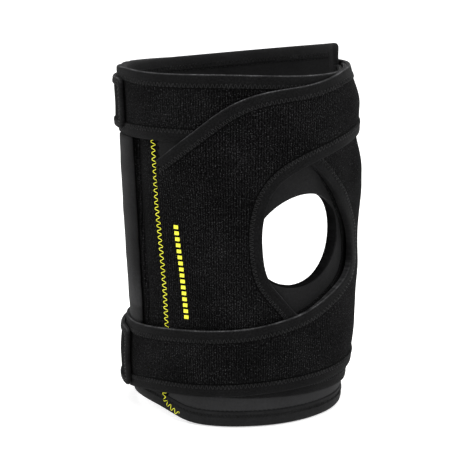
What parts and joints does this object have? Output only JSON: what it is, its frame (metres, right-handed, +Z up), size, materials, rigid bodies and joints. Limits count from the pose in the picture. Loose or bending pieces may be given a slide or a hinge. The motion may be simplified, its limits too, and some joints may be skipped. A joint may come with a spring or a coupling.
{
  "type": "knee brace",
  "caption": "Wrap-round neoprene knee brace with an open patella hole, open back, two crossing strap wings, hook tabs and side stays.",
  "frame": {"origin": "on the leg's axis, level with the bottom rim", "axes": "+Z up the leg, -Y to the front (patella), +X to the medial side"},
  "size_m": [0.1759, 0.1765, 0.2561],
  "materials": {
    "neoprene_jersey": "smooth knitted jersey on neoprene",
    "loop_fabric": "brushed loop fabric with fine upright ribs",
    "binding_tape": "smooth folded stretch tape",
    "ring_foam": "jersey-covered foam",
    "hook_tape": "moulded micro hooks",
    "spring_steel": "flattened spiral spring wire",
    "yellow_thread": "fluorescent sewing thread",
    "yellow_print": "soft raised print"
  },
  "bodies": {
    "calf": {"calf_front": "neoprene_jersey", "calf_flap": "neoprene_jersey", "calf_front_binding": "binding_tape", "calf_flap_binding": "binding_tape", "lateral_lower_panel": "loop_fabric", "lateral_lower_binding": "binding_tape", "medial_lower_panel": "loop_fabric", "medial_lower_binding": "binding_tape", "lateral_stay": "spring_steel", "medial_stay": "spring_steel", "lateral_channel": "neoprene_jersey", "medial_channel": "neoprene_jersey", "lower_stay_caps": "spring_steel", "patella_ring": "ring_foam", "knee_gusset": "neoprene_jersey", "yellow_seam": "yellow_thread", "printed_bars": "yellow_print"},
    "thigh": {"thigh_front": "neoprene_jersey", "thigh_flap": "neoprene_jersey", "thigh_flap_binding": "binding_tape", "lateral_upper_panel": "loop_fabric", "lateral_upper_binding": "binding_tape", "medial_upper_panel": "loop_fabric", "medial_upper_binding": "binding_tape", "band_binding": "binding_tape", "upper_stay_caps": "spring_steel"},
    "upper_tab": {"upper_tab": "loop_fabric", "upper_hook": "hook_tape"},
    "lower_tab": {"lower_tab": "loop_fabric", "lower_hook": "hook_tape"}
  },
  "joints": [
    {"name": "knee_flexion", "type": "hinge", "parent": "calf", "child": "thigh", "pos_m": [0, 0, 0.131], "axis": [-1, 0, 0], "range_deg": [0, 60], "stiffness_Nm_per_rad": 0.6, "deforming": ["lateral_stay", "medial_stay", "lateral_channel", "medial_channel", "patella_ring", "knee_gusset", "yellow_seam", "printed_bars"]},
    {"name": "upper_tab_peel", "type": "hinge", "parent": "thigh", "child": "upper_tab", "pos_m": [-0.04738, 0.07296, 0.221], "axis": [0, 0, -1], "range_deg": [0, 90]},
    {"name": "lower_tab_peel", "type": "hinge", "parent": "calf", "child": "lower_tab", "pos_m": [-0.01845, 0.0799, 0.0455], "axis": [0, 0, -1], "range_deg": [0, 90]}
  ]
}
